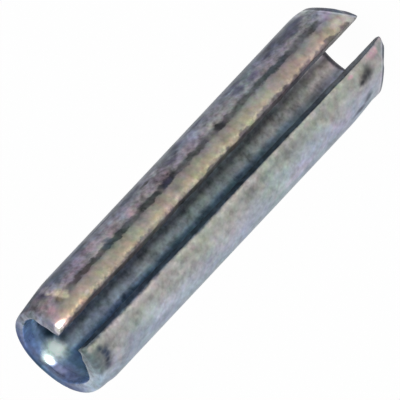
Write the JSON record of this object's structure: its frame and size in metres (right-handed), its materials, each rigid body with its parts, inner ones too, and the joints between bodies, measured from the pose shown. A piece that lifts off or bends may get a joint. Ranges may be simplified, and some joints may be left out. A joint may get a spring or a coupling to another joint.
{
  "type": "slotted spring pin",
  "caption": "Slotted spring pin: a strip of spring steel rolled into a C-section tube with one full-length slot and tapered ends, driven into a drilled hole to lock two parts.",
  "frame": {"origin": "on the pin's axis at the surface that the pin stands on, under its lower end", "axes": "+Z along the pin's axis, from the end it stands on to the other; -Y from the axis out through the slot"},
  "size_m": [0.0064, 0.0063, 0.0269],
  "materials": {
    "plated_spring_steel": "thin zinc plating, dull and iridescent, with dark stains"
  },
  "bodies": {
    "root": {"spring_pin": "plated_spring_steel"}
  },
  "joints": []
}
